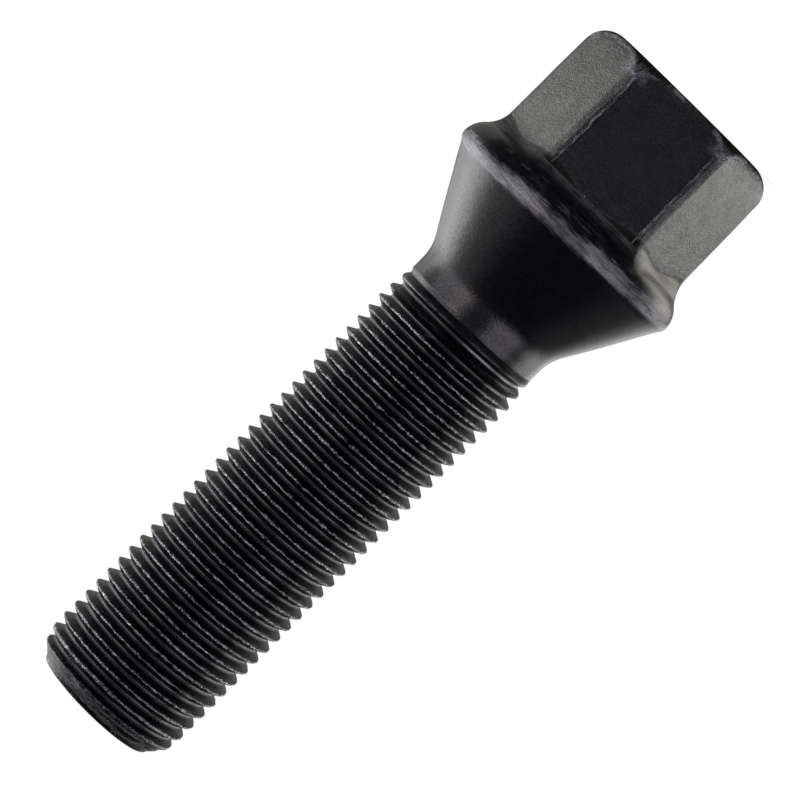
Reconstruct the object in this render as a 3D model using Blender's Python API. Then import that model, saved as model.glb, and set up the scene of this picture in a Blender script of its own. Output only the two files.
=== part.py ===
"""A wheel bolt: hexagon head, rim, conical seat, bare neck and a rolled fine thread.

The bolt is cold forged and thread rolled from one piece of steel, so it is one solid.
It stands on the flat end of its head. The origin is the centre of that face, and +Z runs
along the bolt's axis towards the tip of the thread. One flat of the hexagon faces -Y.
One Blender unit is one metre.

The surface is built as columns that run along the bolt, side by side round its axis.
"""

import math

import bmesh
import bpy

MM = 0.001

# Rolled thread, right-handed, ISO metric form
THREAD_DIAMETER = 13.9 * MM
THREAD_PITCH = 1.25 * MM
THREAD_START_TURN = 0.056
GROOVE_RUN_OUT = 1.5 * MM
CREST_RUN_OUT = 3.2 * MM

# Shank, measured from where the seat's cone would meet the neck
SHANK_LENGTH = 45.5 * MM
NECK_LENGTH = 1.97 * MM
TIP_TAPER_LENGTH = 3.6 * MM
TIP_TAPER_DEPTH = 0.7 * MM
TIP_CHAMFER_DEPTH = 1.6 * MM
TIP_CHAMFER_ANGLE = math.radians(45.0)
TIP_EDGE_ROUND = 0.3 * MM

# Hexagon head
HEX_ACROSS_FLATS = 16.9 * MM
HEX_CORNER_ROUND = 1.15 * MM
HEAD_END_ROUND = 2.2 * MM
FOOT_ROUND_AT_FLATS = 0.8 * MM
FOOT_ROUND_AT_CORNERS = 3.4 * MM

# Rim and conical seat
RIM_HEIGHT = 14.1 * MM
RIM_OVERHANG = 1.72 * MM
RIM_BACK_ROUND = 2.2 * MM
RIM_FRONT_ROUND = 0.9 * MM
SEAT_ANGLE = math.radians(60.0)
SEAT_FILLET = 4.0 * MM

# Facets of the curved surfaces
CORNER_STEPS = 3
FLAT_STEPS = 8
ROUND_STEPS = 3
SHORTEST_EDGE = 0.01 * MM

# Proportions of the ISO metric thread, as shares of the pitch
CREST_SHARE = 1 / 8
DEPTH_SHARE = 0.6134
PITCH_LINE_SHARE = 0.3248
FLANK_SHARE = DEPTH_SHARE * math.tan(math.radians(30.0))

# Thread profile over one pitch: place along the bolt as a share of the pitch, and height
THREAD_PROFILE = (
    (-CREST_SHARE / 2, 1.0),
    (CREST_SHARE / 2, 1.0),
    (CREST_SHARE / 2 + FLANK_SHARE, 0.0),
    (1 - CREST_SHARE / 2 - FLANK_SHARE, 0.0),
)

# Sizes that follow from the ones above
CREST_RADIUS = THREAD_DIAMETER / 2
THREAD_DEPTH = THREAD_PITCH * DEPTH_SHARE
ROOT_RADIUS = CREST_RADIUS - THREAD_DEPTH
NECK_RADIUS = CREST_RADIUS - THREAD_PITCH * PITCH_LINE_SHARE
HEX_APOTHEM = HEX_ACROSS_FLATS / 2
HEX_CORNER_CENTRE = (HEX_APOTHEM - HEX_CORNER_ROUND) / math.cos(math.radians(30.0))
HEX_CORNER_RADIUS = HEX_CORNER_CENTRE + HEX_CORNER_ROUND
RIM_RADIUS = HEX_CORNER_RADIUS + RIM_OVERHANG
HALF_SEAT = SEAT_ANGLE / 2
SEAT_TOP_RADIUS = RIM_RADIUS - RIM_FRONT_ROUND * (1 - math.cos(HALF_SEAT))
SEAT_TOP_HEIGHT = RIM_HEIGHT + RIM_FRONT_ROUND * math.sin(HALF_SEAT)
SEAT_END_HEIGHT = SEAT_TOP_HEIGHT + (SEAT_TOP_RADIUS - NECK_RADIUS) / math.tan(HALF_SEAT)
THREAD_START = SEAT_END_HEIGHT + NECK_LENGTH
BOLT_LENGTH = SEAT_END_HEIGHT + SHANK_LENGTH
THREAD_END = BOLT_LENGTH - TIP_EDGE_ROUND
HEAD_COLUMNS = 6 * (CORNER_STEPS + FLAT_STEPS)
THREAD_COLUMNS = HEAD_COLUMNS // 2


def clear_scene():
    """Leaves nothing in the file, so that it holds only the bolt."""
    for obj in list(bpy.data.objects):
        bpy.data.objects.remove(obj, do_unlink=True)


def arc(centre, radius, start, end, steps=ROUND_STEPS):
    """Points (distance from the axis, height) along an arc, angles measured from outwards."""
    points = []
    for step in range(steps + 1):
        angle = start + (end - start) * step / steps
        points.append((centre[0] + radius * math.cos(angle), centre[1] + radius * math.sin(angle)))
    return points


def place(mesh, angle, point):
    """A vertex at this angle round the axis, at a point (distance from the axis, height)."""
    return mesh.verts.new((point[0] * math.cos(angle), point[0] * math.sin(angle), point[1]))


def skin(mesh, *corners):
    """One face, without the corners that lie on each other where a row runs out."""
    distinct = list(dict.fromkeys(corners))
    if len(distinct) > 2:
        mesh.faces.new(distinct)


# Head, rim and seat


def hexagon_outline():
    """Angle and distance from the axis of each column on the hexagon with round corners."""
    outline = []
    half_flat = HEX_CORNER_CENTRE / 2
    for side in range(6):
        turn = math.radians(60.0 * side)
        for step in range(CORNER_STEPS + 1):
            lean = math.radians(-30.0 + 60.0 * step / CORNER_STEPS)
            along = HEX_CORNER_CENTRE + HEX_CORNER_ROUND * math.cos(lean)
            across = HEX_CORNER_ROUND * math.sin(lean)
            outline.append((turn + math.atan2(across, along), math.hypot(across, along)))
        for step in range(1, FLAT_STEPS):
            across = half_flat * (2 * step / FLAT_STEPS - 1)
            angle = turn + math.radians(30.0) + math.atan2(across, HEX_APOTHEM)
            outline.append((angle, math.hypot(across, HEX_APOTHEM)))
    return outline


def head_end(side):
    """Domed end of the head, from the edge of its flat face out to the hexagon's side."""
    face_radius = HEX_CORNER_RADIUS - HEAD_END_ROUND
    rest = math.radians(-90.0)
    lean = -math.acos(min(1.0, (side - face_radius) / HEAD_END_ROUND))
    return arc((face_radius, HEAD_END_ROUND), HEAD_END_ROUND, rest, lean)


def head_foot(side):
    """Hollow round from the hexagon's side into the back of the rim, wider at the corners."""
    towards_corner = (side - HEX_APOTHEM) / (HEX_CORNER_RADIUS - HEX_APOTHEM)
    foot = FOOT_ROUND_AT_FLATS + (FOOT_ROUND_AT_CORNERS - FOOT_ROUND_AT_FLATS) * towards_corner
    rim_centre = (RIM_RADIUS - RIM_BACK_ROUND, RIM_HEIGHT)
    out = side + foot - rim_centre[0]
    down = math.sqrt((foot + RIM_BACK_ROUND) ** 2 - out**2)
    foot_centre = (side + foot, RIM_HEIGHT - down)
    meeting = math.atan2(down, -out)
    hollow = arc(foot_centre, foot, math.pi, meeting)
    back = arc(rim_centre, RIM_BACK_ROUND, meeting - math.pi, 0.0)
    return hollow + back[1:]


def seat():
    """Front of the rim, the cone that centres the wheel, and the round into the neck."""
    front = arc((RIM_RADIUS - RIM_FRONT_ROUND, RIM_HEIGHT), RIM_FRONT_ROUND, 0.0, HALF_SEAT, 2)
    neck_height = SEAT_END_HEIGHT + SEAT_FILLET * math.tan(HALF_SEAT / 2)
    fillet_centre = (NECK_RADIUS + SEAT_FILLET, neck_height)
    return front[1:] + arc(fillet_centre, SEAT_FILLET, math.pi + HALF_SEAT, math.pi)


def build_head(mesh):
    """The head from its flat end to the neck. Returns the first and the last ring of vertices."""
    columns = []
    for number, (hex_angle, side) in enumerate(hexagon_outline()):
        even_angle = math.radians(360.0) * (number - CORNER_STEPS / 2) / HEAD_COLUMNS
        hexagonal = head_end(side) + head_foot(side)[: ROUND_STEPS + 1]
        rounded = head_foot(side)[ROUND_STEPS + 1 :] + seat()
        column = [place(mesh, hex_angle, point) for point in hexagonal]
        for row, point in enumerate(rounded, 1):
            evened = min(1.0, row / ROUND_STEPS)
            angle = hex_angle + (even_angle - hex_angle) * evened
            column.append(place(mesh, angle, point))
        columns.append(column)
    for left, right in zip(columns, columns[1:] + columns[:1]):
        for row in range(len(left) - 1):
            skin(mesh, left[row], right[row], right[row + 1], left[row + 1])
    return [column[0] for column in columns], [column[-1] for column in columns]


# Thread


def tip_radius(height):
    """Envelope of the thread at the tip: a slow curved taper, cut off by a steep chamfer."""
    curve = (TIP_TAPER_LENGTH**2 + TIP_TAPER_DEPTH**2) / (2 * TIP_TAPER_DEPTH)
    into = max(0.0, height - (BOLT_LENGTH - TIP_TAPER_LENGTH))
    tapered = CREST_RADIUS - curve + math.sqrt(curve**2 - into**2)
    to_end = BOLT_LENGTH - height
    chamfered = CREST_RADIUS - TIP_CHAMFER_DEPTH + to_end * math.tan(TIP_CHAMFER_ANGLE)
    return min(tapered, chamfered)


def thread_radius(share, height):
    """Distance of the thread's surface from the axis, run out towards the neck and the tip."""
    above = height - THREAD_START
    sunk = min(1.0, above / GROOVE_RUN_OUT)
    raised = min(1.0, above / CREST_RUN_OUT)
    lowest = NECK_RADIUS - (NECK_RADIUS - ROOT_RADIUS) * sunk
    highest = NECK_RADIUS + (CREST_RADIUS - NECK_RADIUS) * raised
    full = CREST_RADIUS - THREAD_DEPTH * (1 - share)
    return min(max(full, lowest), highest, tip_radius(height))


def thread_column(mesh, turn):
    """One column of the thread. The rows beyond its two ends all fall on its end vertices."""
    turns = math.ceil((THREAD_END - THREAD_START) / THREAD_PITCH) + 2
    angle = math.radians(360.0) * turn
    first = place(mesh, angle, (NECK_RADIUS, THREAD_START))
    last = place(mesh, angle, (tip_radius(THREAD_END), THREAD_END))
    column = []
    for whole in range(-2, turns):
        for place_share, height_share in THREAD_PROFILE:
            pitches = whole + place_share + turn - THREAD_START_TURN
            height = THREAD_START + THREAD_PITCH * pitches
            if height < THREAD_START + SHORTEST_EDGE:
                column.append(first)
            elif height > THREAD_END - SHORTEST_EDGE:
                column.append(last)
            else:
                column.append(place(mesh, angle, (thread_radius(height_share, height), height)))
    return column


def build_thread(mesh):
    """The thread as one helical skin. Returns its first and its last ring of vertices."""
    columns = [thread_column(mesh, number / THREAD_COLUMNS) for number in range(THREAD_COLUMNS)]
    rows = len(columns[0])
    per_pitch = len(THREAD_PROFILE)
    turned_once = columns[0][per_pitch:] + columns[0][-1:] * per_pitch
    for left, right in zip(columns, columns[1:] + [turned_once]):
        for row in range(rows - 1):
            skin(mesh, left[row], right[row], right[row + 1], left[row + 1])
    return [column[0] for column in columns], [column[-1] for column in columns]


def join_neck(mesh, neck_ring, thread_ring):
    """The bare neck, which has two columns of the head to each column of the thread."""
    shift = CORNER_STEPS // 2
    wide = neck_ring[shift:] + neck_ring[:shift]
    for number, foot in enumerate(thread_ring):
        following = thread_ring[(number + 1) % THREAD_COLUMNS]
        start, middle = wide[2 * number], wide[2 * number + 1]
        end = wide[(2 * number + 2) % HEAD_COLUMNS]
        skin(mesh, start, middle, foot)
        skin(mesh, middle, following, foot)
        skin(mesh, middle, end, following)


def build_tip(mesh, thread_ring):
    """The rounded edge of the tip and its flat end face."""
    round_centre = (tip_radius(THREAD_END) - TIP_EDGE_ROUND, THREAD_END)
    edge = arc(round_centre, TIP_EDGE_ROUND, 0.0, math.pi / 2, 2)
    ring = thread_ring
    for point in edge[1:]:
        angles = [math.atan2(vertex.co.y, vertex.co.x) for vertex in thread_ring]
        next_ring = [place(mesh, angle, point) for angle in angles]
        for number in range(THREAD_COLUMNS):
            after = (number + 1) % THREAD_COLUMNS
            skin(mesh, ring[number], ring[after], next_ring[after], next_ring[number])
        ring = next_ring
    skin(mesh, *ring)


# Finish


def phosphated_steel():
    """Forged steel under a thin black phosphate coating: dark, satin, a little metallic."""
    material = bpy.data.materials.new("black_phosphated_steel")
    material.use_nodes = True
    shader = material.node_tree.nodes["Principled BSDF"]
    shader.inputs["Base Color"].default_value = (0.030, 0.031, 0.034, 1.0)
    shader.inputs["Metallic"].default_value = 0.6
    shader.inputs["Roughness"].default_value = 0.42
    return material


def build_bolt():
    """The whole bolt as one closed surface."""
    mesh = bmesh.new()
    end_ring, neck_ring = build_head(mesh)
    thread_first, thread_last = build_thread(mesh)
    skin(mesh, *reversed(end_ring))
    join_neck(mesh, neck_ring, thread_first)
    build_tip(mesh, thread_last)
    bmesh.ops.recalc_face_normals(mesh, faces=mesh.faces)
    data = bpy.data.meshes.new("wheel_bolt")
    mesh.to_mesh(data)
    mesh.free()
    data.materials.append(phosphated_steel())
    data.shade_smooth()
    data.set_sharp_from_angle(angle=math.radians(35.0))
    bolt = bpy.data.objects.new("wheel_bolt", data)
    bpy.context.collection.objects.link(bolt)
    return bolt


clear_scene()
bolt = build_bolt()
print("wheel bolt", len(bolt.data.vertices), "vertices", len(bolt.data.polygons), "faces")
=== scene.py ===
# %% [markdown]
# # A wheel bolt
#
# This bolt holds a car's wheel to its hub. It is cold forged from one piece of steel, its thread is
# rolled, and it is dipped in a black phosphate bath at the end. So it is one piece here too: a
# hexagon head, a rim, a cone that centres the wheel, a bare neck and a long fine thread.
#
# The finer bolt that is modelled below takes its place in the picture, in the same spot and at the
# same size. It stands on its head, with its axis on Z, and one Blender unit is one metre.

# %% Load the solid that everything is built around
import math

import bmesh
import bpy
from mathutils import Matrix, Vector


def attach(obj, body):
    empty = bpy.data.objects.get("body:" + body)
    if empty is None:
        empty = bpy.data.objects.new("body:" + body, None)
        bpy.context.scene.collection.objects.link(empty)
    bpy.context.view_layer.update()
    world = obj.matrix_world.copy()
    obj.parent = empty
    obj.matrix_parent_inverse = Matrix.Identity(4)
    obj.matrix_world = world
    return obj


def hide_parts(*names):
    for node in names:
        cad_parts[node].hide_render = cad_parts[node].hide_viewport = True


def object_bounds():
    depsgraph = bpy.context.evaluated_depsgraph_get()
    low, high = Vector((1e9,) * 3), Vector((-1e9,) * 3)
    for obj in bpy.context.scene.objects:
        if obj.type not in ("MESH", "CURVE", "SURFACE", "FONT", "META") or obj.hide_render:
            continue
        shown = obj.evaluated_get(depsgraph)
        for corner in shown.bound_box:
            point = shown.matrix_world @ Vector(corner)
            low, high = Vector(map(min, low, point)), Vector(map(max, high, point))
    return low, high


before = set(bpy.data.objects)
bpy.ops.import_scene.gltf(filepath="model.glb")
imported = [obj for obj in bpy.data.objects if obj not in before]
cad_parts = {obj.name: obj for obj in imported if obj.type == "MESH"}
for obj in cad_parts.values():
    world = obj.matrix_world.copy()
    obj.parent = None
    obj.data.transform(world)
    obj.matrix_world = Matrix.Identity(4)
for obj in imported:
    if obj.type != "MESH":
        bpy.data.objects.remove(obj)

bpy.context.scene.view_settings.view_transform = "Standard"
solid_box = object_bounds()
MM = 0.001
TINY = 0.001 * MM
print("solid:", [round(side / MM, 2) for side in solid_box[1] - solid_box[0]], "mm")

# %% [markdown]
# ## The camera
#
# The picture is taken with a long lens from about 36 cm away, a little from the head's side, and
# turned so that the bolt lies across the picture from lower left to upper right. A long lens keeps
# the crests of the thread nearly parallel, and the small lean of the view makes them bow more and
# more towards the tip. The camera comes first.

# %% Place the camera
VIEW_LEAN = math.radians(4.5)
VIEW_ROLL = math.radians(135.27)
VIEW_DISTANCE = 360 * MM
VIEW_CENTRE = Vector((-0.217 * MM, 0, 33.15 * MM))
LENS_MM = 201.85

look = Vector((0, math.cos(VIEW_LEAN), math.sin(VIEW_LEAN)))
right = Vector((1, 0, 0))
camera_data = bpy.data.cameras.new("camera")
camera_data.lens = LENS_MM
camera_data.clip_start = 0.01
camera = bpy.data.objects.new("camera", camera_data)
bpy.context.collection.objects.link(camera)
axes = Matrix((right, right.cross(look), -look)).transposed()
turned = (axes @ Matrix.Rotation(-VIEW_ROLL, 3, "Z")).to_4x4()
camera.matrix_world = Matrix.Translation(VIEW_CENTRE - look * VIEW_DISTANCE) @ turned
bpy.context.scene.camera = camera
print("camera stands", round(camera.location.z / MM, 1), "mm above the floor")

# %% [markdown]
# ## Working by hand, in code
#
# An operator acts on whatever is selected. These small helpers do what the mouse would do: make one
# object active, go in and out of edit mode, and pick vertices by where they are.

# %% Helpers for selecting and editing
from contextlib import contextmanager


def only(obj):
    """Deselects everything else and makes this the active object."""
    bpy.ops.object.select_all(action="DESELECT")
    obj.select_set(True)
    bpy.context.view_layer.objects.active = obj


@contextmanager
def editing(obj):
    """Edit mode on one object, with nothing selected at the start."""
    only(obj)
    bpy.ops.object.mode_set(mode="EDIT")
    bpy.ops.mesh.select_mode(type="VERT")
    bpy.ops.mesh.select_all(action="DESELECT")
    yield
    bpy.ops.object.mode_set(mode="OBJECT")


def pick(obj, rule):
    """Selects the vertices whose place follows the rule, and returns how many there are."""
    mesh = bmesh.from_edit_mesh(obj.data)
    for vertex in mesh.verts:
        vertex.select = bool(rule(vertex.co))
    mesh.select_flush_mode()
    bmesh.update_edit_mesh(obj.data)
    return sum(vertex.select for vertex in mesh.verts)


def finish_modifiers(obj):
    """Applies every modifier in order."""
    only(obj)
    for modifier in list(obj.modifiers):
        bpy.ops.object.modifier_apply(modifier=modifier.name)


# %% [markdown]
# ## Sizes
#
# The sizes are those of the solid. A bolt like this is bought by its thread, M14 x 1.25, by the
# 17 mm spanner that turns its head, and by its 60 degree cone. The rest follows from the proportions
# of the ISO thread and from the roundings that forging leaves. START_TURN is the part of a turn by
# which the thread is wound on, so that its crests stand where they do on the solid.

# %% Sizes of the bolt
PITCH = 1.25 * MM
CREST = 6.95 * MM
DEPTH = 0.6134 * PITCH
ROOT = CREST - DEPTH
NECK = CREST - 0.3248 * PITCH
START_TURN = 0.056
GROOVE_RUN_OUT = 1.5 * MM
CREST_RUN_OUT = 3.2 * MM

APOTHEM = 8.45 * MM
CORNER_ROUND = 1.15 * MM
CORNER_CENTRE = (APOTHEM - CORNER_ROUND) / math.cos(math.radians(30))
CORNER = CORNER_CENTRE + CORNER_ROUND

RIM = CORNER + 1.72 * MM
RIM_Z = 14.1 * MM
RIM_BACK = 2.2 * MM
RIM_FRONT = 0.9 * MM
HALF_SEAT = math.radians(30)
SEAT_TOP = RIM - RIM_FRONT * (1 - math.cos(HALF_SEAT))
SEAT_END_Z = RIM_Z + RIM_FRONT * math.sin(HALF_SEAT) + (SEAT_TOP - NECK) / math.tan(HALF_SEAT)
SEAT_FILLET = 4 * MM
THREAD_Z = SEAT_END_Z + 1.97 * MM
TIP_Z = SEAT_END_Z + 45.5 * MM
print("tip at", round(TIP_Z / MM, 3), "mm, solid ends at", round(solid_box[1].z / MM, 3), "mm")

# %% [markdown]
# ## The head's outline
#
# Forging presses the end of a rod into a die with a hexagonal hollow. The die's corners are round,
# and so are the head's. The outline starts as a filled circle of six sides. A bevel on its corner
# points rounds them, and subdividing the long edges gives each flat points for the dome to follow.
# Only the outline is kept: it is the first ring of a long row of rings.

# %% Draw the outline
AROUND = 132
CORNER_CUTS = 6
LEAST_FLAT = 5 * MM
FLAT_CUTS = AROUND // 6 - CORNER_CUTS - 1

bpy.ops.object.select_all(action="DESELECT")
bpy.ops.mesh.primitive_circle_add(
    vertices=6, radius=APOTHEM / math.cos(math.radians(30)), fill_type="NGON",
    location=(0, 0, 0), rotation=(0, 0, math.radians(30)),
)
bolt = bpy.context.object
bolt.name = "bolt"
bpy.ops.object.transform_apply(location=True, rotation=True, scale=True)
with editing(bolt):
    bpy.ops.mesh.select_all(action="SELECT")
    bpy.ops.mesh.bevel(
        affect="VERTICES", offset=CORNER_ROUND * math.tan(math.radians(30)), segments=CORNER_CUTS
    )
    bpy.ops.mesh.select_mode(type="EDGE")
    mesh = bmesh.from_edit_mesh(bolt.data)
    for edge in mesh.edges:
        edge.select = edge.calc_length() > LEAST_FLAT
    bmesh.update_edit_mesh(bolt.data)
    bpy.ops.mesh.subdivide(number_cuts=FLAT_CUTS)
    bpy.ops.mesh.select_mode(type="VERT")
    bpy.ops.mesh.select_all(action="SELECT")
    bpy.ops.mesh.delete(type="ONLY_FACE")
print("outline:", len(bolt.data.vertices), "points")


def turn_of(vertex):
    """Angle of a vertex round the bolt, from 0 to a full turn, starting just before +X."""
    start = math.radians(0.5)
    return (math.atan2(vertex.co.y, vertex.co.x) + start) % math.tau - start


outline = sorted((turn_of(v), v.co.xy.length) for v in bolt.data.vertices)
print("flats at", round(min(r for _, r in outline) / MM, 2), "corners at",
      round(max(r for _, r in outline) / MM, 2), "mm from the axis")

# %% [markdown]
# ## The head, row by row
#
# From the outline the head grows as a person would pull it up with the extrude tool: one ring, then
# the next. Each new ring is set at once to its distance from the axis and its height. Near the end
# face the rings follow a dome, and they stop where the dome meets the flat, so the curved edge that
# ends each flat is a real edge of the mesh. At the foot a hollow round leads into the rim. It is
# tight against the flats and wide at the corners, because the die fills more slowly there.

# %% The curves that the rings follow
DOMES = [2.2 * MM, 1.8 * MM, 1.5 * MM, 2.2 * MM, 1.2 * MM, 1.55 * MM]
FEET = [2.7 * MM, 3.0 * MM, 3.4 * MM, 3.4 * MM, 3.2 * MM, 2.9 * MM]
FOOT_AT_FLATS = 0.8 * MM
DRAFT = 0.1 * MM
LIP = 0.06 * MM
LIP_RINGS = 8
UNDER_LIP_IN, UNDER_LIP_UP = 0.03 * MM, 0.07 * MM
DOME_STEPS, FLAT_STEPS, HOLLOW_STEPS, BACK_STEPS = 10, 16, 8, 9
FRONT_STEPS, CONE_STEPS, FILLET_STEPS, NECK_STEPS = 4, 18, 8, 3
SPREAD_RINGS = 8


def arc(centre, radius, start, end, steps):
    """Points (distance from the axis, height) along an arc, angles measured from outwards."""
    angles = [start + (end - start) * step / steps for step in range(steps + 1)]
    return [(centre[0] + radius * math.cos(a), centre[1] + radius * math.sin(a)) for a in angles]


def round_the_corners(values, angle):
    """A measure that is given at the six corners and passes smoothly from one to the next."""
    place = math.degrees(angle) % 360 / 60
    corner = int(place) % 6
    share = 0.5 - 0.5 * math.cos(math.pi * (place - int(place)))
    return values[corner] + (values[(corner + 1) % 6] - values[corner]) * share


def dome_edge(side, dome):
    """From the flat end face over the dome to the hexagon's side."""
    face = CORNER - dome
    lean = -math.acos(min(1, (side - face) / dome))
    return arc((face, dome), dome, -math.pi / 2, lean, DOME_STEPS)


def foot(side, widest):
    """The hollow round at the hexagon's foot and the back of the rim."""
    share = (side - APOTHEM) / (CORNER - APOTHEM)
    hollow = FOOT_AT_FLATS + (widest - FOOT_AT_FLATS) * share
    side = side + DRAFT
    out = side + hollow - (RIM - RIM_BACK)
    down = math.sqrt((hollow + RIM_BACK) ** 2 - out**2)
    meeting = math.atan2(down, -out)
    first = arc((side + hollow, RIM_Z - down), hollow, math.pi, meeting, HOLLOW_STEPS)
    second = arc((RIM - RIM_BACK, RIM_Z), RIM_BACK, meeting - math.pi, 0, BACK_STEPS)
    return first, second[1:]


def between(first, last, steps):
    """Evenly spaced points between two points, both left out."""
    shares = [step / steps for step in range(1, steps)]
    return [tuple(a + (b - a) * share for a, b in zip(first, last)) for share in shares]


def seat_and_neck():
    """The front of the rim with its small lip, the cone, the round into the neck and the neck."""
    front = arc((RIM - RIM_FRONT, RIM_Z), RIM_FRONT, 0, HALF_SEAT, FRONT_STEPS)[1:]
    neck_z = SEAT_END_Z + SEAT_FILLET * math.tan(HALF_SEAT / 2)
    middle = (NECK + SEAT_FILLET, neck_z)
    hollow = arc(middle, SEAT_FILLET, math.pi + HALF_SEAT, math.pi, FILLET_STEPS)
    cone = between(front[-1], hollow[0], CONE_STEPS)
    under = (front[-1][0] - LIP - UNDER_LIP_IN, front[-1][1] + UNDER_LIP_UP)
    cone = [(out - LIP * max(0, 1 - ring / LIP_RINGS), up) for ring, (out, up) in enumerate(cone)]
    return front + [under] + cone + hollow + between(hollow[-1], (NECK, THREAD_Z), NECK_STEPS)


def head_column(angle, side):
    """Every ring's place on one column of the head: those on the hexagon, then the round ones."""
    dome = dome_edge(side, round_the_corners(DOMES, angle))
    hollow, back = foot(side, round_the_corners(FEET, angle))
    return dome + between(dome[-1], hollow[0], FLAT_STEPS) + hollow, back + seat_and_neck()


print("rim:", round(RIM / MM, 2), "mm from the axis, seat ends at", round(SEAT_END_Z / MM, 2), "mm")

# %% Extrude the rings
columns = [head_column(angle, side) for angle, side in outline]
HEX_RINGS = len(columns[0][0])
RINGS = HEX_RINGS + len(columns[0][1])


def ring_place(ring, column):
    """Where one point of a ring goes. Past the foot the columns spread out evenly."""
    hex_angle = outline[column][0]
    hexagonal, rounded = columns[column]
    if ring < HEX_RINGS:
        angle, (out, up) = hex_angle, hexagonal[ring]
    else:
        spread = min(1, (ring - HEX_RINGS + 1) / SPREAD_RINGS)
        angle = hex_angle + (math.tau * column / AROUND - hex_angle) * spread
        out, up = rounded[ring - HEX_RINGS]
    return Vector((out * math.cos(angle), out * math.sin(angle), up))


with editing(bolt):
    bpy.ops.mesh.select_all(action="SELECT")
    for ring in range(RINGS):
        if ring > 0:
            bpy.ops.mesh.extrude_region_move()
        mesh = bmesh.from_edit_mesh(bolt.data)
        for column, vertex in enumerate(sorted((v for v in mesh.verts if v.select), key=turn_of)):
            vertex.co = ring_place(ring, column)
        bmesh.update_edit_mesh(bolt.data)
    pick(bolt, lambda co: co.z < TINY)
    bpy.ops.mesh.edge_face_add()
print("head:", RINGS, "rings,", len(bolt.data.polygons), "faces")

# %% [markdown]
# ## Breaking the edge of the dome
#
# No edge on a forged and tumbled part is a knife edge. The curved edge between the dome and the
# flats gets a narrow bevel, which catches the light as a thin line. Its points are found by place,
# because the place of every ring is known. The ring where each flat ends at its foot is found the
# same way. Both are kept as vertex groups, so that the finish can wear them later.

# %% Bevel the edge between the dome and the flats
DOME_RING, FOOT_RING = DOME_STEPS, HEX_RINGS - HOLLOW_STEPS - 1
BROKEN_EDGE = 0.13 * MM


def thousandths(place):
    """A place in whole thousandths of a millimetre, so that two places can be compared."""
    return tuple(round(c / TINY) for c in place)


def mark_ring(ring, name):
    """Selects one ring's points and keeps them in a vertex group."""
    places = {thousandths(ring_place(ring, column)) for column in range(AROUND)}
    found = pick(bolt, lambda co: thousandths(co) in places)
    bpy.ops.object.vertex_group_assign_new()
    bolt.vertex_groups[-1].name = name
    return found


with editing(bolt):
    mark_ring(FOOT_RING, "foot edge")
    found = mark_ring(DOME_RING, "dome edge")
    bpy.ops.mesh.select_mode(type="EDGE")
    bpy.ops.mesh.bevel(offset=BROKEN_EDGE, segments=3)
print("broken edge runs over", found, "points")

# %% [markdown]
# ## The thread
#
# A rolled thread is one groove that winds up the shank. Its profile is drawn once over a single
# pitch, from the middle of one root up the flank, over the crest and down to the next root. Its
# steps are shares of the pitch and of the depth. The line starts as a small plane whose points are
# merged into one, and that point is extruded step by step. The Screw modifier then winds the line
# round the axis and lifts it by one pitch in each turn. Each turn ends on the points where the next
# one starts, so merging the doubles closes the groove from end to end.

# %% Draw the profile of one pitch and wind it up
THREAD_STEPS = 228
HALF_PROFILE = [(0.5, 0.0), (0.41, 0.06), (0.25, 0.5), (0.1, 0.9), (0.055, 0.985), (0.0, 1.0)]
PROFILE = [(-along, high) for along, high in HALF_PROFILE] + HALF_PROFILE[-2::-1]
SPARE_TURNS = 3
TURNS = math.ceil((TIP_Z - THREAD_Z) / PITCH) + SPARE_TURNS
SEED_PLANE = 0.1 * MM
DOUBLES = 0.002 * MM
first_crest = THREAD_Z - PITCH * (START_TURN + 1)
points = [Vector((ROOT + DEPTH * high, 0, first_crest + PITCH * along)) for along, high in PROFILE]

bpy.ops.object.select_all(action="DESELECT")
bpy.ops.mesh.primitive_plane_add(size=SEED_PLANE, location=points[0])
thread = bpy.context.object
thread.name = "thread"
bpy.ops.object.transform_apply(location=True, rotation=True, scale=True)
with editing(thread):
    bpy.ops.mesh.select_all(action="SELECT")
    bpy.ops.mesh.merge(type="CENTER")
    for here, there in zip(points, points[1:]):
        bpy.ops.mesh.select_all(action="DESELECT")
        pick(thread, lambda co: (co - here).length < TINY)
        bpy.ops.mesh.extrude_region_move(TRANSFORM_OT_translate={"value": there - here})
winding = thread.modifiers.new("winding", "SCREW")
winding.angle = math.tau
winding.screw_offset = PITCH
winding.iterations = TURNS
winding.steps = winding.render_steps = THREAD_STEPS
finish_modifiers(thread)
with editing(thread):
    bpy.ops.mesh.select_all(action="SELECT")
    bpy.ops.mesh.remove_doubles(threshold=DOUBLES)
print("thread:", TURNS, "turns,", len(thread.data.polygons), "faces")

# %% [markdown]
# ## Run-out, taper and chamfer
#
# The rolling dies leave the thread unfinished at both ends. At the neck the groove grows shallower
# until it is gone, and the crests sink with it. At the tip the crests fall off in a slow taper to a
# 45 degree chamfer. Two lines over the height say how far out the steel may reach and how far in the
# groove may cut. Each point beyond a line is slid straight in or out to it. No point moves along the
# bolt, so the thin crests can't fold over.

# %% Draw the two limits
TAPER_LENGTH, TAPER_DEPTH = 3.6 * MM, 0.7 * MM
TAPER_CURVE = (TAPER_LENGTH**2 + TAPER_DEPTH**2) / (2 * TAPER_DEPTH)
CHAMFER_DEPTH = 1.6 * MM
CHAMFER_FOOT = CREST - CHAMFER_DEPTH
EDGE_ROUND = 0.3 * MM
THREAD_END = TIP_Z - EDGE_ROUND


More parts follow.
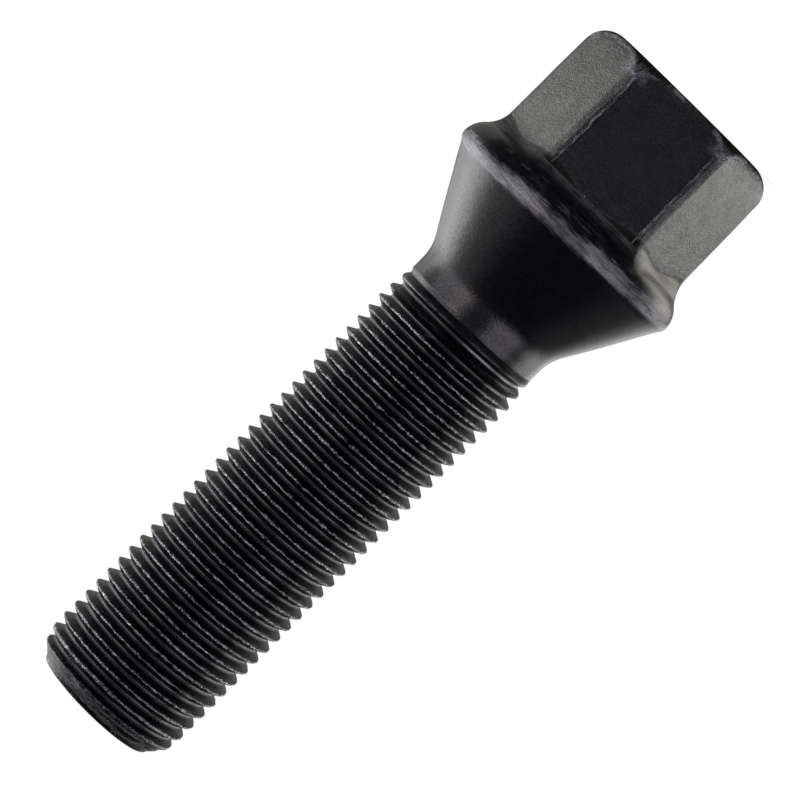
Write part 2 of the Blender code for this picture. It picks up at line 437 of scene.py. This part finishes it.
def farthest(up):
    """How far out the thread may reach at a height."""
    raised = min(1, max(0, (up - THREAD_Z) / CREST_RUN_OUT))
    into = min(TAPER_LENGTH, max(0, up - (TIP_Z - TAPER_LENGTH)))
    tapered = CREST - TAPER_CURVE + math.sqrt(TAPER_CURVE**2 - into**2)
    return min(NECK + (CREST - NECK) * raised, tapered, max(CHAMFER_FOOT, CHAMFER_FOOT + TIP_Z - up))


def nearest(up):
    """How far in the groove may cut at a height."""
    return NECK - (NECK - ROOT) * min(1, max(0, (up - THREAD_Z) / GROOVE_RUN_OUT))


print("thread reaches", round(farthest(TIP_Z - 2 * MM) / MM, 2), "mm out, two mm below the tip")

# %% Slide the points to the limits
with editing(thread):
    mesh = bmesh.from_edit_mesh(thread.data)
    moved = 0
    for vertex in mesh.verts:
        out, up = vertex.co.xy.length, vertex.co.z
        limited = min(max(out, nearest(up)), farthest(up))
        moved += abs(limited - out) > TINY
        vertex.co.xy *= limited / out
    bmesh.update_edit_mesh(thread.data)
print(moved, "points slid in or out")

# %% [markdown]
# ## One closed skin
#
# The wound strip is longer than the thread, so it is cut square at both ends with the bisect tool.
# At the tip the cut edge is rounded and closed. Then head and thread become one object, and the
# last ring of the neck is bridged to the first ring of the thread.

# %% Cut the strip square at both ends
SHORTEST_EDGE = 0.01 * MM
ON_THE_CUT = 1e-7


def cut_square(obj, height, **away):
    """Cuts across at a height and tidies the rim: no short edges, no slivers in the cut's plane."""
    bpy.ops.mesh.select_all(action="SELECT")
    bpy.ops.mesh.bisect(plane_co=(0, 0, height), plane_no=(0, 0, 1), threshold=ON_THE_CUT, **away)
    bpy.ops.mesh.select_all(action="SELECT")
    bpy.ops.mesh.remove_doubles(threshold=SHORTEST_EDGE)
    bpy.ops.mesh.select_all(action="DESELECT")
    bpy.ops.mesh.select_mode(type="FACE")
    mesh = bmesh.from_edit_mesh(obj.data)
    for face in mesh.faces:
        face.select = all(abs(v.co.z - height) < TINY for v in face.verts)
    slivers = sum(face.select for face in mesh.faces)
    bmesh.update_edit_mesh(obj.data)
    if slivers:
        bpy.ops.mesh.delete(type="FACE")
    bpy.ops.mesh.select_mode(type="VERT")
    return slivers


with editing(thread):
    slivers = cut_square(thread, THREAD_Z, clear_inner=True)
    slivers += cut_square(thread, THREAD_END, clear_outer=True)
print("cut thread:", len(thread.data.polygons), "faces,", slivers, "slivers removed")

# %% Round the tip's edge and close it
FACE_RINGS = (4.2 * MM, 2.4 * MM, 0.9 * MM)

with editing(thread):
    bpy.ops.mesh.select_mode(type="EDGE")
    mesh = bmesh.from_edit_mesh(thread.data)
    for edge in mesh.edges:
        edge.select = edge.is_boundary and edge.verts[0].co.z > TIP_Z / 2
    bmesh.update_edit_mesh(thread.data)
    width = CHAMFER_FOOT + EDGE_ROUND
    height = THREAD_END
    rounding = arc((CHAMFER_FOOT, THREAD_END), EDGE_ROUND, 0, math.pi / 2, 4)[1:]
    for out, up in rounding + [(ring, TIP_Z) for ring in FACE_RINGS]:
        bpy.ops.mesh.extrude_region_move(TRANSFORM_OT_translate={"value": (0, 0, up - height)})
        bpy.ops.transform.resize(
            value=(out / width, out / width, 1), center_override=(0, 0, up)
        )
        width, height = out, up
    bpy.ops.mesh.edge_face_add()
print("closed thread:", len(thread.data.polygons), "faces")

# %% Join head and thread
only(bolt)
thread.select_set(True)
bpy.ops.object.join()
with editing(bolt):
    bpy.ops.mesh.select_mode(type="EDGE")
    bpy.ops.mesh.select_non_manifold()
    bpy.ops.mesh.bridge_edge_loops()
    bpy.ops.mesh.select_all(action="SELECT")
    bpy.ops.mesh.normals_make_consistent(inside=False)
    bpy.ops.mesh.select_all(action="DESELECT")
    bpy.ops.mesh.select_non_manifold()
    mesh = bmesh.from_edit_mesh(bolt.data)
    print("open points:", sum(v.select for v in mesh.verts), " volume:",
          round(mesh.calc_volume() * 1e9, 1), "cubic mm")

# %% [markdown]
# ## The unevenness of forged steel
#
# Dies wear, scale flakes off and bolts knock against each other in a drum. So the surface swells by
# a few hundredths of a millimetre, and the crests, where the steel was squeezed up between the dies,
# are the roughest. Four Displace modifiers do it, each with a cloud texture. A slow one swells the
# whole bolt. Two quicker ones roughen the crests and the tip's chamfer, and the last one pushes
# both a little up and down the bolt. The end face that the bolt stands on stays flat.

# %% Weigh the points and displace them
SKIN_START = 0.5 * MM
CHAMFER_FROM, CHAMFER_TO = TIP_Z - 1.7 * MM, TIP_Z - 0.35 * MM
CHAMFER_SHARE = 0.6
MID_LEVEL = 0.6

skin = bolt.vertex_groups.new(name="forged skin")
crests = bolt.vertex_groups.new(name="crests")
for vertex in bolt.data.vertices:
    out, up = vertex.co.xy.length, vertex.co.z
    skin.add([vertex.index], min(1, max(0, up / SKIN_START)), "REPLACE")
    if up > THREAD_Z:
        crests.add([vertex.index], min(1, max(0, (out - ROOT) / DEPTH * 2 - 1)), "REPLACE")
    if CHAMFER_FROM < up < CHAMFER_TO:
        crests.add([vertex.index], CHAMFER_SHARE, "REPLACE")
for name, group, size, strength, way in (
    ("swell", skin, 2.6 * MM, 0.05 * MM, "NORMAL"),
    ("wander", crests, 0.9 * MM, 0.07 * MM, "NORMAL"),
    ("ragged", crests, 0.45 * MM, 0.035 * MM, "NORMAL"),
    ("kinks", crests, 0.8 * MM, 0.14 * MM, "Z"),
):
    clouds = bpy.data.textures.new(name, "CLOUDS")
    clouds.noise_scale = size
    push = bolt.modifiers.new(name, "DISPLACE")
    push.texture = clouds
    push.texture_coords = "LOCAL"
    push.vertex_group = group.name
    push.direction = way
    push.strength = strength
    push.mid_level = MID_LEVEL
finish_modifiers(bolt)
print("displaced:", len(bolt.data.vertices), "points")

# %% [markdown]
# ## Worn edges
#
# The finish has to know which points lie on the dome's edge and at the foot. An attribute on the
# points carries that to the material, 1 where an edge is worn most. Then the surface is shaded
# smooth, and only edges sharper than 38 degrees stay hard.

# %% Mark the worn edges of the dome and the foot for the finish
WEAR = {"dome edge": 1.0, "foot edge": 0.42}
SHARP_ANGLE = math.radians(38)

worn = bolt.data.attributes.new("worn", "FLOAT", "POINT")
names = [group.name for group in bolt.vertex_groups]
for vertex in bolt.data.vertices:
    worn.data[vertex.index].value = max([WEAR.get(names[g.group], 0) for g in vertex.groups] + [0])
# the bevel has left weights below zero in the groups, and they have served now
bolt.vertex_groups.clear()
only(bolt)
bpy.ops.object.shade_smooth_by_angle(angle=SHARP_ANGLE)
print("bolt:", sum(len(p.vertices) - 2 for p in bolt.data.polygons), "triangles")

# %% [markdown]
# ## Writing materials as sums
#
# A material is a sum of small decisions, such as "rubbed where it stands proud, but only in
# patches". Written as Python expressions these stay readable. One small class holds a socket, and
# each operator on it adds the Math node that it stands for.

# %% A socket that can be calculated with


def connect(tree, socket, item):
    """Links a socket or sets its value."""
    if isinstance(item, Value):
        tree.links.new(item.socket, socket)
    else:
        socket.default_value = item


class Value:
    """One number that changes over a surface."""

    def __init__(self, tree, socket):
        self.tree = tree
        self.socket = socket

    def maths(self, operation, *items):
        node = self.tree.nodes.new("ShaderNodeMath")
        node.operation = operation
        for socket, item in zip(node.inputs, items):
            connect(self.tree, socket, item)
        return Value(self.tree, node.outputs[0])

    def __add__(self, other):
        return self.maths("ADD", self, other)

    def __sub__(self, other):
        return self.maths("SUBTRACT", self, other)

    def __mul__(self, other):
        return self.maths("MULTIPLY", self, other)

    def __truediv__(self, other):
        return self.maths("DIVIDE", self, other)

    def __radd__(self, other):
        return self.maths("ADD", other, self)

    def __rsub__(self, other):
        return self.maths("SUBTRACT", other, self)

    def __rmul__(self, other):
        return self.maths("MULTIPLY", other, self)

    def __rtruediv__(self, other):
        return self.maths("DIVIDE", other, self)

    def __abs__(self):
        return self.maths("ABSOLUTE", self)

    def root(self):
        return self.maths("SQRT", self)

    def higher(self, other):
        return self.maths("MAXIMUM", self, other)


class Finish:
    """A material under construction."""

    def __init__(self, name):
        self.material = bpy.data.materials.new(name)
        self.material.use_nodes = True
        self.tree = self.material.node_tree
        self.shader = self.tree.nodes["Principled BSDF"]

    def node(self, kind, settings=None, sockets=None, out=0):
        """Adds a node: its settings first, then its sockets. Returns one of its outputs."""
        node = self.tree.nodes.new(kind)
        for name, setting in (settings or {}).items():
            setattr(node, name, setting)
        for name, item in (sockets or {}).items():
            connect(self.tree, node.inputs[name], item)
        return Value(self.tree, node.outputs[out])

    def set(self, **sockets):
        for name, item in sockets.items():
            connect(self.tree, self.shader.inputs[name.replace("_", " ")], item)

    def rise(self, value, start, end):
        """0 below start, 1 above end, and a smooth rise between them."""
        sockets = {"Value": value, "From Min": start, "From Max": end}
        return self.node("ShaderNodeMapRange", {"interpolation_type": "SMOOTHSTEP"}, sockets)

    def fall(self, value, start, end):
        """1 below start, 0 above end, and a smooth fall between them."""
        return self.rise(-1.0 * value, -end, -start)

    def clouds(self, place, scale, detail=3.0, rough=0.55):
        """Soft noise, about 0 to 1, in patches of one over scale."""
        sockets = {"Vector": place, "Scale": scale, "Detail": detail, "Roughness": rough}
        return self.node("ShaderNodeTexNoise", None, sockets)

    def blend(self, share, first, second):
        """Mixes two colours."""
        sockets = {0: share, 6: first, 7: second}
        return self.node("ShaderNodeMix", {"data_type": "RGBA"}, sockets, out=2)


# %% [markdown]
# ## Black phosphate, rubbed through
#
# The coating is a thin layer of dark crystals: nearly black, satin, faintly mottled in blue and
# violet. Where bolts rub against each other it wears off what stands proud: the crests of the
# thread, the rim, the corners of the hexagon and the edges of its flats. There steel shows in thin
# broken lines. Sockets have burnished the flats, and the rolling dies the roots of the thread, so
# these mirror like dull metal. Each of these places is known from the bolt's own measures, so the
# masks are worked out from the place on the bolt, in millimetres, and broken up with noise.
# On the rim and in the hollow at the hexagon's foot the pale rubbed colour is partly painted sheen,
# and beside the corners the dark streaks are partly painted shade.

# %% The bolt's finish
coat = Finish("black_phosphated_steel")
place = coat.node("ShaderNodeTexCoord", None, None, out=3)
place = coat.node("ShaderNodeMapping", None, {"Vector": place, "Scale": (1 / MM, 1 / MM, 1 / MM)})
split = coat.node("ShaderNodeSeparateXYZ", None, {"Vector": place})
x, y, z = (Value(coat.tree, split.socket.node.outputs[i]) for i in range(3))
out = (x * x + y * y).root()
tip = TIP_Z / MM
thread_start = THREAD_Z / MM
print("in the material the thread runs from", round(thread_start, 2), "to", round(tip, 2))

# %% Noises, from a few millimetres down to the size of the crystals


def drawn_out(scales):
    """Clouds that are longer in some directions than in others."""
    stretched = coat.node("ShaderNodeMapping", None, {"Vector": place, "Scale": scales})
    return coat.clouds(stretched, 1.6, 3.0, 0.6)


wide = coat.clouds(place, 0.3, 2.0)
patch = coat.clouds(place, 0.9, 4.0)
lumps = coat.clouds(place, 1.7, 3.0, 0.65)
mottle = coat.clouds(place, 2.2, 4.0, 0.6)
fine = coat.clouds(place, 5.0, 3.0)
sand = coat.clouds(place, 8.0, 2.0, 0.7)
streaks = drawn_out((5, 5, 0.3))
hoops = drawn_out((0.45, 0.45, 3.4))
print("noises:", len(coat.tree.nodes), "nodes")

# %% [markdown]
# ### The thread's wear
#
# The crests touch everything that the bolt is thrown against. The rubbed band reaches 0.05 to
# 0.15 mm below the highest point of the crest, which sinks along the taper, so the same curve is
# worked out here once more. Noise breaks the band into beads and gaps. The chamfer has no crest. It
# is only chipped here and there, in short marks that run round the bolt.

# %% Crests of the thread and the chamfer
into = (z - (tip - TAPER_LENGTH / MM)).higher(0.0)
crest_line = (CREST - TAPER_CURVE) / MM + ((TAPER_CURVE / MM) ** 2 - into * into).root()
on_thread = coat.rise(z, thread_start + 0.9, thread_start + 1.6)
full_crest = coat.rise(z, thread_start + 2.2, thread_start + 3.6)
on_chamfer = coat.rise(z, tip - 1.8, tip - 1.5)
reach = 0.05 + 0.1 * coat.rise(lumps, 0.4, 0.62)
near_crest = coat.rise(out - crest_line + reach, 0.0, 0.06) * full_crest * (1.0 - 0.8 * on_chamfer)
beads = coat.rise(fine + mottle * 0.6 + wide * 0.35, 0.86, 1.14)
crest_rub = near_crest * (0.16 + 0.84 * beads)
burnish = coat.rise(ROOT / MM + 0.1 - out, 0.0, 0.08) * on_thread * (1.0 - on_chamfer)
chips = coat.rise(fine * 0.5 + hoops * 0.7, 0.62, 0.78) * on_chamfer * coat.rise(out, 5.2, 5.6)
print("with the thread's wear:", len(coat.tree.nodes), "nodes")

# %% [markdown]
# ### The rim's wear
#
# The rim is the widest place of the bolt, so it is the first to be rubbed. Its pale band sits on the
# rounded edge and leans a little towards the head on one side. The band is partly wear and partly
# painted sheen. A steady pale share all along it stands in for the gleam of the rounded edge. On top
# of that the wear comes in longer bouts, which a cosine over the angle gives, and is streaked along
# the rim. The hollow back of the rim is only smudged, and the thin pale line in the hollow at the
# hexagon's foot is partly wear and partly painted sheen.

# %% Rim
RIM_RUB_HEAD_SIDE = (13.2, 13.75)
RIM_RUB_CONE_SIDE = (14.3, 14.8)
RIM_RUB_OUT = (10.7, 10.9)
RIM_RUB_LEAN = 0.045
BOUTS = 8

sixths = y.maths("ARCTAN2", y, x) / math.radians(60)
bouts = 0.5 - 0.5 * sixths.maths("COSINE", sixths * (BOUTS * math.pi / 3))
bouts = coat.rise(bouts + (wide - 0.5) * 0.8, 0.15, 0.95)
leaning = z - x * RIM_RUB_LEAN
on_rim = coat.rise(leaning + bouts * 0.25 + (hoops - 0.5) * 0.9, *RIM_RUB_HEAD_SIDE)
on_rim = on_rim * coat.fall(leaning - (hoops - 0.5) * 0.5, *RIM_RUB_CONE_SIDE)
on_rim = on_rim * coat.rise(out, *RIM_RUB_OUT)
streaked = coat.rise(hoops + (fine - 0.5) * 0.12 + (patch - 0.5) * 0.4, 0.36, 0.64)
# Painted sheen and wear: the steady 0.18 paints the gleam of the rounded edge all round the rim, and
# the bouts and the streaks are wear.
rim_wear_and_sheen = on_rim * (0.18 + 0.35 * bouts + 0.42 * streaked)
smudged = coat.rise(hoops * 0.6 + patch * 0.6, 0.58, 0.86)
at_foot = coat.rise(z, 10.95, 11.2) * coat.fall(z, 11.2, 12.0)
on_back = coat.rise(z, 11.8, 12.4) * coat.fall(z, 12.8, 13.4)
# Painted sheen and wear: the pale line in the hollow at the foot stands partly for the gleam that
# the hollow mirrors, and the smudges on the back are wear.
back_wear_and_sheen = at_foot * (0.06 + 0.2 * streaked) + on_back * 0.25 * smudged
print("with the rim:", len(coat.tree.nodes), "nodes")

# %% [markdown]
# ### The hexagon's wear
#
# A socket touches a hexagon close to its corners. So each corner is darkened and streaked where the
# coating was squeezed, with one thin rubbed line beside it. How far a point lies from the nearest
# corner comes from its angle, in millimetres along the surface. The sign of a cosine turns every
# second corner round, so that the line always lies on the same three flats. The dark streaks are
# partly painted shade: they are deepened on the side towards those three flats, among them the flat
# that faces the camera, and kept lighter on the other side. The dome is knocked above the corners,
# and the edges that were kept as vertex groups are worn by their own attribute.

# %% Corners of the hexagon, edges of the dome and the foot
LINE_FROM_CORNER = 0.44
LINE_WIDTH = 0.15
HEXAGON_END = (10.95, 11.25)
CORNER_STRIP = (0.5, 0.8)
KNOCK_REACH = (0.8, 2.0)
FLAT_ARC = math.radians(60) * CORNER / MM

every_second = sixths.maths("COSINE", sixths * math.pi)
every_second = every_second.maths("SIGN", every_second)
from_corner = (sixths - sixths.maths("ROUND", sixths)) * every_second * FLAT_ARC
on_hexagon = coat.fall(z, *HEXAGON_END)
on_corner = coat.fall(abs(from_corner), *CORNER_STRIP) * on_hexagon
wobble = (patch - 0.5) * 0.4 + (fine - 0.5) * 0.16
ridge = 1.0 - abs(from_corner + wobble - LINE_FROM_CORNER) / LINE_WIDTH
corner_rub = coat.rise(ridge, 0.0, 0.8) * on_hexagon
corner_rub = corner_rub * (0.12 + 0.88 * coat.rise(streaks + patch * 0.8, 0.8, 1.06))
edge = coat.node("ShaderNodeAttribute", {"attribute_name": "worn"}, None, out=2)
edge_rub = coat.rise(edge + (fine - 0.5) * 0.9 + (lumps - 0.5) * 0.9, 0.36, 0.9)
edge_rub = edge_rub * coat.rise(patch, 0.34, 0.56)
on_dome = coat.rise(z, 0.25, 0.7) * coat.fall(z, 1.2, 2.1)
knocked = on_dome * coat.fall(abs(from_corner + 0.2), *KNOCK_REACH)
knocked = knocked * coat.rise(lumps + (fine - 0.5) * 0.5, 0.34, 0.56)
print("with the hexagon:", len(coat.tree.nodes), "nodes")

# %% [markdown]
# ### Colour, sheen and grain
#
# There are four colours: the black coat, the burnished flats and roots, the pale rubbed coat and the
# bare steel of the crests. The masks from above mix them. On the rim and at the hexagon's foot the
# pale rubbed coat is partly painted sheen. The coat is a little metallic, which makes its mirror
# image darker, because a metal mirrors in its own colour and this one is nearly black.
# The grain is a bump of a few hundredths of a millimetre.

# %% Colour, sheen and grain
BUMP_HEIGHT = 0.038 * MM

black = coat.blend(
    coat.rise(mottle, 0.35, 0.7), (0.0036, 0.0048, 0.0086, 1), (0.0080, 0.0078, 0.0108, 1)
)
bare = coat.blend(coat.rise(sand, 0.46, 0.64), (0.28, 0.28, 0.32, 1), (0.92, 0.90, 0.94, 1))
# The pale rubbed colour is worn coat, and on the rim and at the foot it also paints sheen.
pale_scuff_and_sheen = coat.blend(coat.rise(sand, 0.4, 0.62), (0.20, 0.195, 0.235, 1), (0.44, 0.43, 0.49, 1))
smoky = coat.rise(sand * 0.9 + patch * 0.3, 0.42, 0.78)
polished = coat.blend(smoky, (0.092, 0.093, 0.090, 1), (0.180, 0.181, 0.176, 1))
# Painted shade and wear: 0.5 * from_corner deepens the dark streaks on the side of each corner that
# faces the three flats with the rubbed line, the flat facing the camera among them.
corner_streaks_and_shade = coat.rise(streaks + (fine - 0.5) * 0.12 + 0.5 * from_corner, 0.42, 0.66)
polished = coat.blend(on_corner * corner_streaks_and_shade * 0.86, polished, (0.026, 0.025, 0.030, 1))
ground = coat.blend(on_thread, black, (0.0032, 0.0042, 0.0082, 1))
shiny = on_hexagon.higher(burnish)
ground = coat.blend(shiny, ground, coat.blend(burnish, polished, (0.32, 0.32, 0.34, 1)))
# The mask of the worn places. On the rim and at the foot it also holds painted sheen.
scuff_and_sheen_mask = rim_wear_and_sheen.higher(back_wear_and_sheen).higher(corner_rub * 0.85).higher(edge_rub * 0.8)
scuff_and_sheen_mask = scuff_and_sheen_mask.higher(coat.rise(edge, 0.1, 0.6) * 0.13).higher(knocked * 0.55).higher(chips * 0.5)
metal = (crest_rub * 0.9).higher(shiny * (0.95 - 0.65 * scuff_and_sheen_mask)).higher(on_thread * 0.62)
rough = 0.14 + mottle * 0.07 + sand * 0.05 + scuff_and_sheen_mask * 0.2 + crest_rub * 0.14
coat.set(
    Base_Color=coat.blend(crest_rub, coat.blend(scuff_and_sheen_mask, ground, pale_scuff_and_sheen), bare),
    Metallic=metal.higher(coat.rise(sand, 0.42, 0.62) * 0.45),
    Roughness=rough + on_chamfer * lumps * 0.2,
    IOR=1.7,
)
grain = fine * 0.5 + sand * 0.55 + mottle * 0.5 + on_chamfer * lumps * 1.2
grain = grain + crest_rub * (0.3 + 0.9 * sand) + on_corner * streaks * 1.8 + scuff_and_sheen_mask * (0.2 + hoops)
bumps = {"Height": grain, "Strength": 0.65, "Distance": BUMP_HEIGHT}
coat.set(Normal=coat.node("ShaderNodeBump", None, bumps))
bolt.data.materials.clear()
bolt.data.materials.append(coat.material)
print("finish:", len(coat.tree.nodes), "nodes")

# %% [markdown]
# ## In the solid's place
#
# The bolt moves with the part's only body, and it takes the place of the solid in the picture. Its
# slot has the name that the record gives to the coated steel.

# %% The bolt takes the solid's place
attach(bolt, "root")
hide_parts("wheel_bolt")
print("bolt stands for wheel_bolt")

# %% [markdown]
# ## The floor
#
# The floor is plain pale paper. To the camera it is lifted almost to white and keeps the bolt's soft
# shadow. The bolt mirrors it too, and a bright floor would turn the undersides of the rim and the
# crests grey. So in a mirror it is nearly dark in front of the bolt and dim behind it. It is bright
# only in one place, close behind the bolt on the -X side, for the sheen at that end of the rim.

# %% Floor
FLOOR_SIDE = 6
SHEEN_REACH = (0.06, 0.085)

bpy.ops.object.select_all(action="DESELECT")
bpy.ops.mesh.primitive_plane_add(size=FLOOR_SIDE)
floor = bpy.context.object
floor.name = "floor"
with editing(floor):
    bpy.ops.mesh.select_all(action="SELECT")
    bpy.ops.mesh.subdivide(number_cuts=3)
paper = Finish("pale_floor")
seen = paper.node("ShaderNodeLightPath", None, None, out=0)
mirrored = Value(paper.tree, seen.socket.node.outputs["Is Glossy Ray"])
spot = paper.node("ShaderNodeTexCoord", None, None, out=3)
spot = paper.node("ShaderNodeSeparateXYZ", None, {"Vector": spot})
fx, fy = (Value(paper.tree, spot.socket.node.outputs[i]) for i in range(2))
far = (fx * fx + fy * fy).root()
lift = 0.78 + 0.22 * paper.rise(far, 0.1, 0.6)
paper.set(Roughness=0.9, Base_Color=(0.8, 0.8, 0.8, 1), Specular_IOR_Level=0.0)
matt = Value(paper.tree, paper.shader.outputs[0])
glow = paper.node("ShaderNodeEmission", None, {"Color": (1, 1, 1, 1), "Strength": lift})
lifted = paper.node("ShaderNodeAddShader", None, {0: glow, 1: matt})
shown = paper.node("ShaderNodeMixShader", None, {0: seen, 1: matt, 2: lifted})
bright_place = paper.rise(-1.0 * fx - 0.6 * fy, 0.0, 0.012) * paper.fall(far, *SHEEN_REACH)
level = 0.03 + paper.rise(fy, 0.0, 0.02) * 0.22
level = level + paper.rise(fy, -0.003, 0.009) * bright_place * 1.5
sheen = paper.node("ShaderNodeEmission", None, {"Color": (1.0, 0.97, 0.9, 1), "Strength": level})
shown = paper.node("ShaderNodeMixShader", None, {0: mirrored, 1: shown, 2: sheen})
paper.tree.links.new(shown.socket, paper.tree.nodes["Material Output"].inputs["Surface"])
floor.data.materials.append(paper.material)
print("floor:", floor.dimensions.x, "m wide")

# %% [markdown]
# ## The surroundings
#
# A black, satin thing shows little but what it mirrors. In the photograph the bolt lies in white
# surroundings with darkness round the camera, so its middle is black and its sides are grey. The
# world does the same: it is light behind and beside the bolt, nearly dark in front of it and dark
# towards the top. For the camera's own view it is plain white. Its brightness is a sum again,
# worked out from the direction.

# %% World
world = bpy.data.worlds.new("studio")
world.use_nodes = True
bpy.context.scene.world = world


class Surround(Finish):
    """The same way of writing sums, for the world."""

    def __init__(self, tree):
        self.tree = tree


sky = Surround(world.node_tree)
toward = sky.node("ShaderNodeTexCoord", None, None, out=0)
parts = sky.node("ShaderNodeSeparateXYZ", None, {"Vector": toward})
wx, wy, wz = (Value(sky.tree, parts.socket.node.outputs[i]) for i in range(3))
side = sky.rise(wx, -0.3, 0.3)
behind = sky.rise(wy - 0.24 * side * sky.fall(wz, 0.12, 0.3), -0.15, 0.25)
below_top = sky.rise(0.56 + 0.22 * side - wz, 0.0, 0.5 - 0.24 * side)
aside = sky.rise(abs(wx), 0.3, 0.6)
flank = sky.rise(abs(wx), 0.76, 0.84)
raised = side * sky.rise(wz, 0.15, 0.4)
back = sky.rise(abs(wx), 0.04, 0.3) * sky.rise(wz + 0.16 * (1.0 - side), 0.1, 0.22)
level = 0.16 + (1.15 - 0.35 * side) * back + aside * (0.62 + 0.7 * raised - 0.6 * back)
level = level + flank * (0.75 + 0.35 * side)
tail = sky.rise(wx, 0.1, 0.75)
haze = tail * tail * 0.4 + sky.rise(-1.0 * wx, 0.35, 0.8) * behind * 0.12
front = sky.fall(wy, -0.92, -0.72)
camera_ray = sky.node("ShaderNodeLightPath", None, None, out=0)
mirrored_light = 0.018 + (behind * below_top * level).higher(haze).higher(front * 0.114)
strength = camera_ray.higher(mirrored_light)
cool = sky.blend(front * (1.0 - camera_ray), (1, 1, 1, 1), (0.84, 0.93, 1.32, 1))
background = world.node_tree.nodes["Background"]
connect(sky.tree, background.inputs["Color"], cool)
connect(sky.tree, background.inputs["Strength"], strength)
print("world:", len(sky.tree.nodes), "nodes")

# %% [markdown]
# ## The lamps
#
# Three soft lamps stand in front and at the sides. The smooth neck mirrors them as pale windows, and
# the narrow one is faintly warm, as in the photograph. The key lamp shines from the back right and
# the last lamp from above and behind. They light the rubbed steel, which scatters light instead of
# mirroring it.

# %% Lamps
AIM = Vector((0, 0, 25 * MM))


def softbox(name, direction, distance, width, height, brightness, colour=(1, 1, 1)):
    """A rectangular lamp aimed at the bolt's middle. Brightness 1 looks as white as paper."""
    data = bpy.data.lights.new(name, "AREA")
    data.shape = "RECTANGLE"
    data.size = width
    data.size_y = height
    data.energy = brightness * math.pi * width * height
    data.color = colour
    lamp = bpy.data.objects.new(name, data)
    bpy.context.collection.objects.link(lamp)
    away = Vector(direction).normalized()
    lamp.location = AIM + away * distance
    lamp.rotation_euler = away.to_track_quat("Z", "Y").to_euler()


softbox("right_window", (0.92, -0.38, 0.18), 0.5, 0.42, 0.34, 0.86, (0.96, 0.95, 1.0))
softbox("right_pane", (0.56, -0.83, 0.18), 0.5, 0.19, 0.34, 1.5, (1.0, 0.84, 0.80))
softbox("left_window", (-0.74, -0.67, 0.18), 0.5, 0.50, 0.34, 1.15, (1.0, 0.94, 0.98))
softbox("key", (0.62, 0.45, 0.62), 0.6, 0.34, 0.34, 1.35)
softbox("above", (0.0, 0.55, 0.83), 0.9, 0.6, 0.6, 1.2)
